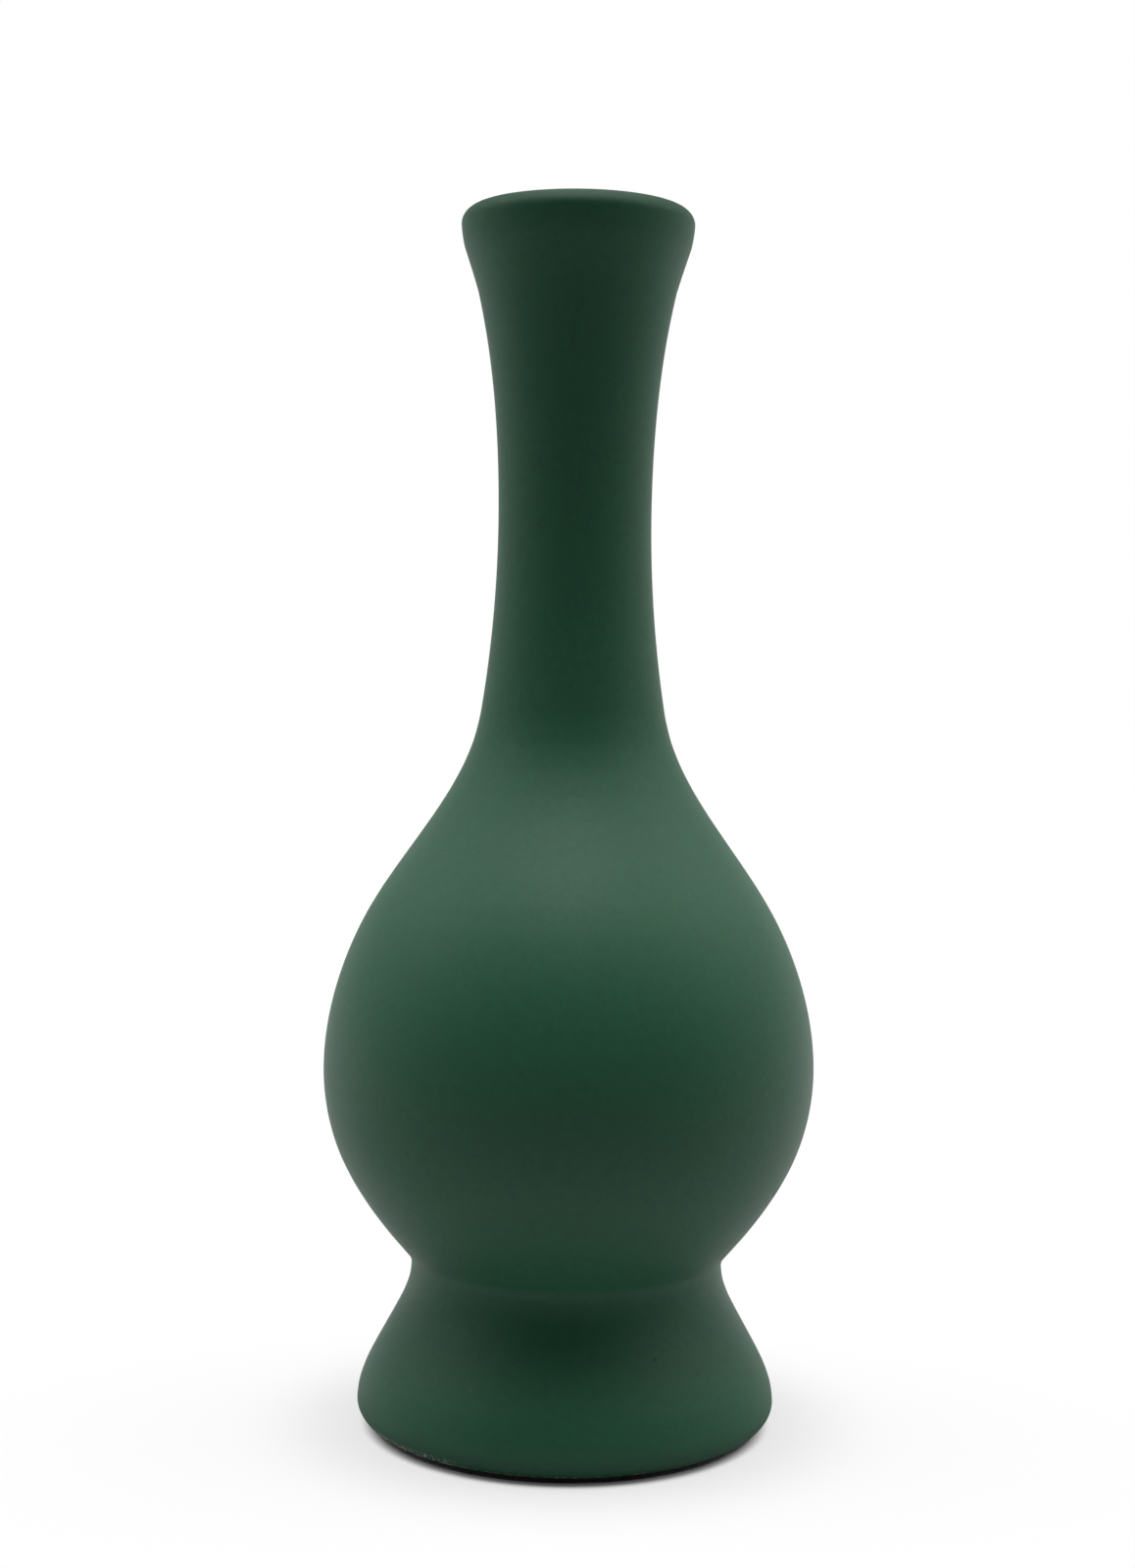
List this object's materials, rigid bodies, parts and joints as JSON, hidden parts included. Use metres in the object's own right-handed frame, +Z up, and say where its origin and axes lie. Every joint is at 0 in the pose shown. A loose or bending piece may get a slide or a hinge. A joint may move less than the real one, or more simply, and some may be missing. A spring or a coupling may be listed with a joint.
{
  "type": "plaster bottle vase",
  "caption": "Green matt plaster bottle vase with a pinched waist, full belly, long neck and rolled lip, a lift-out glass water tube and a felt base pad.",
  "frame": {"origin": "middle of the felt pad's underside, on the surface that the vase stands on", "axes": "+Z up along the vase's axis of turning; X and Y are alike"},
  "size_m": [0.121, 0.121, 0.2982],
  "materials": {
    "painted_plaster": "matt dark green paint over cast plaster",
    "dark_felt": "pressed felt, cut edge",
    "clear_glass": "clear drawn glass tube with a fire-rolled rim"
  },
  "bodies": {
    "vase": {"vase_body": "painted_plaster", "base_pad": "dark_felt"},
    "liner": {"glass_liner": "clear_glass"}
  },
  "joints": [
    {"name": "liner_lift", "type": "slide", "parent": "vase", "child": "liner", "axis": [0, 0, 1], "range_m": [0, 0.235]}
  ]
}
